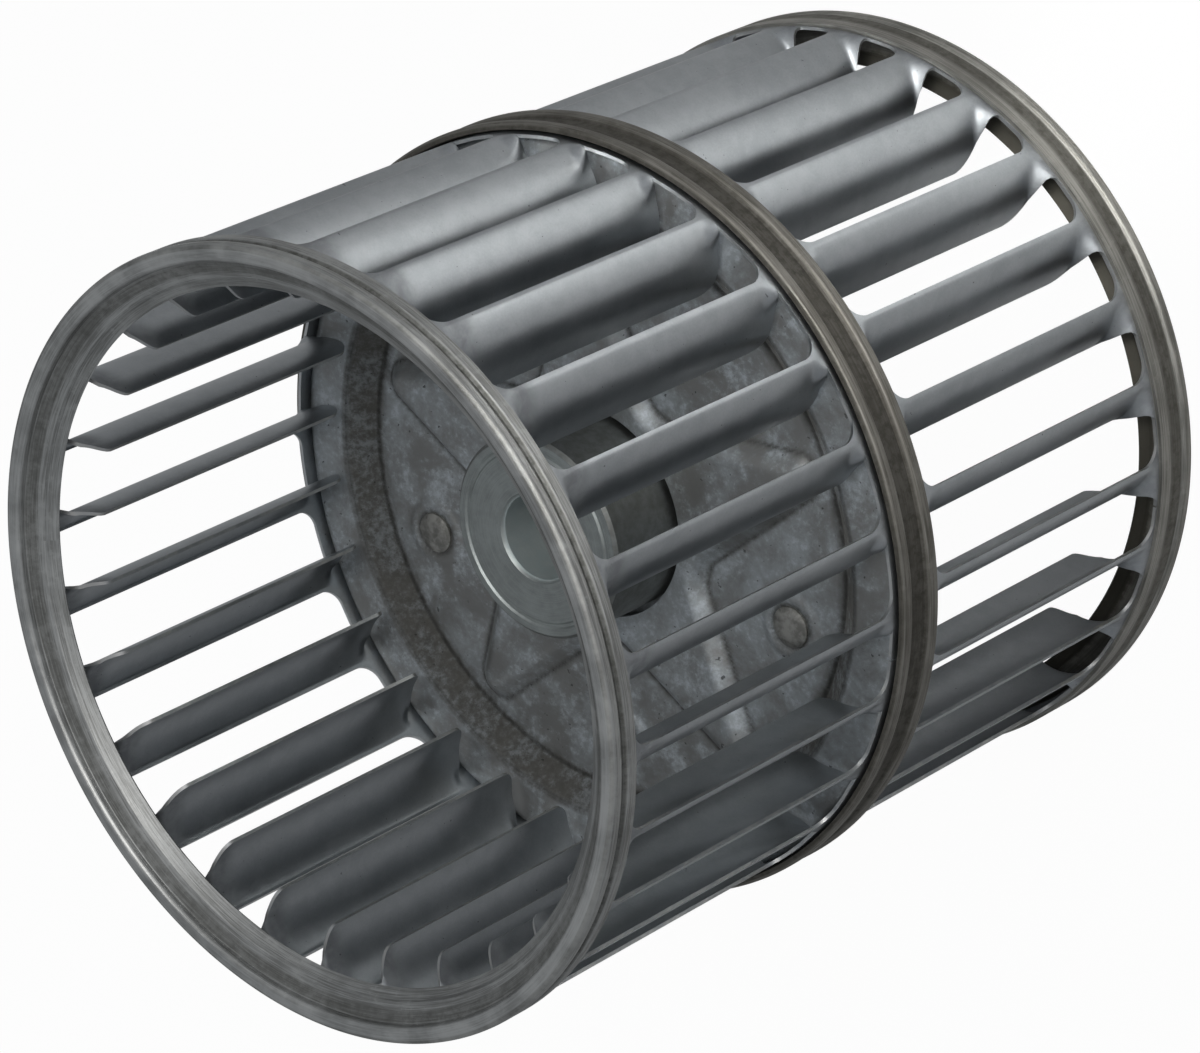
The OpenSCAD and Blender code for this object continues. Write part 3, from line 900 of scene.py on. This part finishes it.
def discShadeAndGrime(radius, angle):
    # where painted shade and dirt sit on the pressed shape: along the star's foot, the ramp's two bends and
    # round the rivets
    offs = {"rivet": rivetGap(radius, angle) - rivet["head"], "rampFoot": radius - disc["ramp"],
            "rampHead": radius - disc["zoneIn"]}
    if radius < disc["ramp"]:
        offs["star"] = starDepth(radius * math.cos(angle), radius * math.sin(angle))
    lines = [(off - shadeAndDirtLines[edge][0]) / shadeAndDirtLines[edge][1] for edge, off in offs.items()]
    return max(math.exp(-line * line) for line in lines)


def centreDisc():
    sheet = disc["sheet"]
    mid = wheel["padLevel"] + sheet / 2
    zone = mid + disc["zoneRise"]
    wall = wheel["stripMid"] - wheel["stripSheet"] / 2 - sheet / 2
    footBend, headBend, flangeBend = disc["bends"]
    path = cornered([
        (disc["ramp"] - disc["rampStart"], mid, 0), (disc["ramp"], mid, footBend),
        (disc["zoneIn"], zone, headBend), (wall, zone, flangeBend), (wall, zone - disc["flange"], 0)])
    start = reach("hub")[1][0] + disc["hubGap"]
    steps = round((path[0].x - start) / disc["step"])
    flatPart = [Vector((start + (path[0].x - start) * i / steps, mid)) for i in range(steps)]
    path = flatPart + path
    count = disc["columns"]
    points, shadeAndDirt = [], []
    for p in path:
        for k in range(count):
            angle = 2 * math.pi * k / count
            z = p.y + discHeight(p.x, angle)
            points.append((p.x * math.cos(angle) * mm, p.x * math.sin(angle) * mm, z * mm))
            shadeAndDirt.append(discShadeAndGrime(p.x, angle))
    thing = meshObject("pressedDisc", points, wrapped(len(path), count))
    # these values carry the painted shade of the creases to the finish
    thing.data.attributes.new("shadeAndGrime", "FLOAT", "POINT").data.foreach_set("value", shadeAndDirt)
    thickened(thing, sheet, even=False)
    finished(thing, steel["disc"], disc["sharp"])
    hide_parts("centre_disc")


centreDisc()
print("disc pressed")


# Rivets

def rivets():
    low, high = reach("hub_plate")[0][2], wheel["padLevel"] + disc["sheet"]
    half = [(0, rivet["rise"])] + [(r, rivet["rise"] - drop) for r, drop in rivet["dome"]]
    half += [(rivet["head"] - rivet["corner"], rivet["edge"] + rivet["bevel"]),
             (rivet["head"], rivet["edge"] - rivet["bevel"]), (rivet["head"], 0), (rivet["shank"], 0)]
    outline = [(r, high + z) for r, z in half] + [(r, low - z) for r, z in reversed(half)]
    count = rivet["sides"]
    points = []
    for r, z in outline:
        for k in range(count):
            angle = 2 * math.pi * k / count
            x, y = disc["rivetCircle"] + r * math.cos(angle), r * math.sin(angle)
            points.append((x * mm, y * mm, z * mm))
    thing = meshObject("rivetRow", points, wrapped(len(outline), count))
    grown(thing, trees["round"], {"Count": disc["arms"], "Pitch": armShare, "Phase": armPhase + armShare / 2,
                                  "Weld": rivet["weld"] * mm, "Finish": steel["rivet"]})
    finished(thing, steel["rivet"])
    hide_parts("rivets")


rivets()
print("rivets set")


# CAD nodes that stay

for node, finish in (("hub", "hub"), ("hub_plate", "disc"), ("set_screw", "rivet")):
    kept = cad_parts[node]
    kept.data.materials.clear()
    kept.data.materials.append(steel[finish])
print("kept nodes finished")


# Floor, world, lights and camera

# the floor is pale in one sector and dimmer elsewhere, which puts the highlights along the blades
stand = {
    "size": 6.0, "pale": rgb(0.92, 0.92, 0.91), "dim": rgb(0.46, 0.46, 0.46), "glow": 0.97,
    "rise": (0.42, 0.90), "fall": (1.02, 1.42),   # directions round the wheel in radians
    "behind": (-2.3, -1.2), "last": (2.4, 3.1), "farShare": 0.4,
    "drop": 0.02,                                 # millimetres below the crest, so that they don't coincide
}


def floorFinish():
    f = Finish("paleFloor")
    turn = f.round()[1]
    sector = f.within(turn, *stand["rise"], *stand["fall"])
    behind = f.spread(turn, *stand["behind"], 1.0, 0.0) + f.spread(turn, *stand["last"])
    tone = f.blend(sector + behind * stand["farShare"], stand["dim"], stand["pale"])
    lit = f.add("ShaderNodeBsdfDiffuse", {}, {"Color": tone})
    bright = f.add("ShaderNodeEmission", {}, {"Color": rgb(1, 1, 1), "Strength": 1.0})
    rays = f.add("ShaderNodeLightPath", out="Is Camera Ray")
    f.add("ShaderNodeOutputMaterial", {}, {
        "Surface": f.add("ShaderNodeMixShader", {}, {0: rays * stand["glow"], 1: lit, 2: bright})})
    return f.material


half = stand["size"] / 2
level = (wheel["bottom"] - stand["drop"]) * mm
corners = [(-half, -half, level), (half, -half, level), (half, half, level), (-half, half, level)]
floor = meshObject("floor", corners, [(0, 1, 2, 3)])
floor.data.materials.append(floorFinish())

surround = {"fill": rgb(0.87, 0.91, 0.96), "strength": 0.36}


def skyRound():
    world = bpy.data.worlds.new("studio")
    bpy.context.scene.world = world
    world.use_nodes = True
    nodes, links = world.node_tree.nodes, world.node_tree.links
    nodes.clear()
    rays = nodes.new("ShaderNodeLightPath")
    dim = nodes.new("ShaderNodeBackground")
    dim.inputs["Color"].default_value = surround["fill"]
    dim.inputs["Strength"].default_value = surround["strength"]
    white = nodes.new("ShaderNodeBackground")
    white.inputs["Color"].default_value = rgb(1, 1, 1)
    mixed = nodes.new("ShaderNodeMixShader")
    links.new(rays.outputs["Is Camera Ray"], mixed.inputs[0])
    links.new(dim.outputs[0], mixed.inputs[1])
    links.new(white.outputs[0], mixed.inputs[2])
    links.new(mixed.outputs[0], nodes.new("ShaderNodeOutputWorld").inputs[0])


skyRound()

lamps = {
    "key": {"at": (0.42, 0.62, 0.86), "to": (0.04, 0.07, -0.04), "size": 0.7, "power": 5.5, "spread": 180,
            "tint": (1.0, 0.99, 0.98)},
    "pool": {"at": (0.28, 0.40, 0.46), "to": (0.11, 0.16, -0.064), "size": 0.2, "power": 0.2, "spread": 36,
             "tint": (1.0, 1.0, 0.99)},
}


def lightUp():
    for name, lamp in lamps.items():
        light = bpy.data.lights.new(name, "AREA")
        light.shape = "SQUARE"
        light.size = lamp["size"]
        light.energy = lamp["power"]
        light.spread = math.radians(lamp["spread"])
        light.color = lamp["tint"]
        thing = bpy.data.objects.new(name, light)
        thing.location = lamp["at"]
        thing.rotation_euler = (Vector(lamp["to"]) - Vector(lamp["at"])).to_track_quat("-Z", "Y").to_euler()
        bpy.context.scene.collection.objects.link(thing)


lightUp()

view = {
    "at": (0.42587, 0.29211, 0.48825), "lens": 148.34, "sensor": 36, "near": 0.01, "far": 20,
    "right": (0.7525, 0.0, -0.65859), "up": (-0.27334, 0.90981, -0.31229),
    "back": (0.59919, 0.41502, 0.68464),
}


def aim():
    lens = bpy.data.cameras.new("camera")
    lens.sensor_fit = "HORIZONTAL"
    lens.sensor_width = view["sensor"]
    lens.lens = view["lens"]
    lens.clip_start = view["near"]
    lens.clip_end = view["far"]
    thing = bpy.data.objects.new("camera", lens)
    axes = Matrix((view["right"], view["up"], view["back"])).transposed().to_4x4()
    thing.matrix_world = Matrix.Translation(view["at"]) @ axes
    bpy.context.scene.collection.objects.link(thing)
    bpy.context.scene.camera = thing


aim()
bpy.context.scene.view_settings.view_transform = "Standard"
print("stage set")
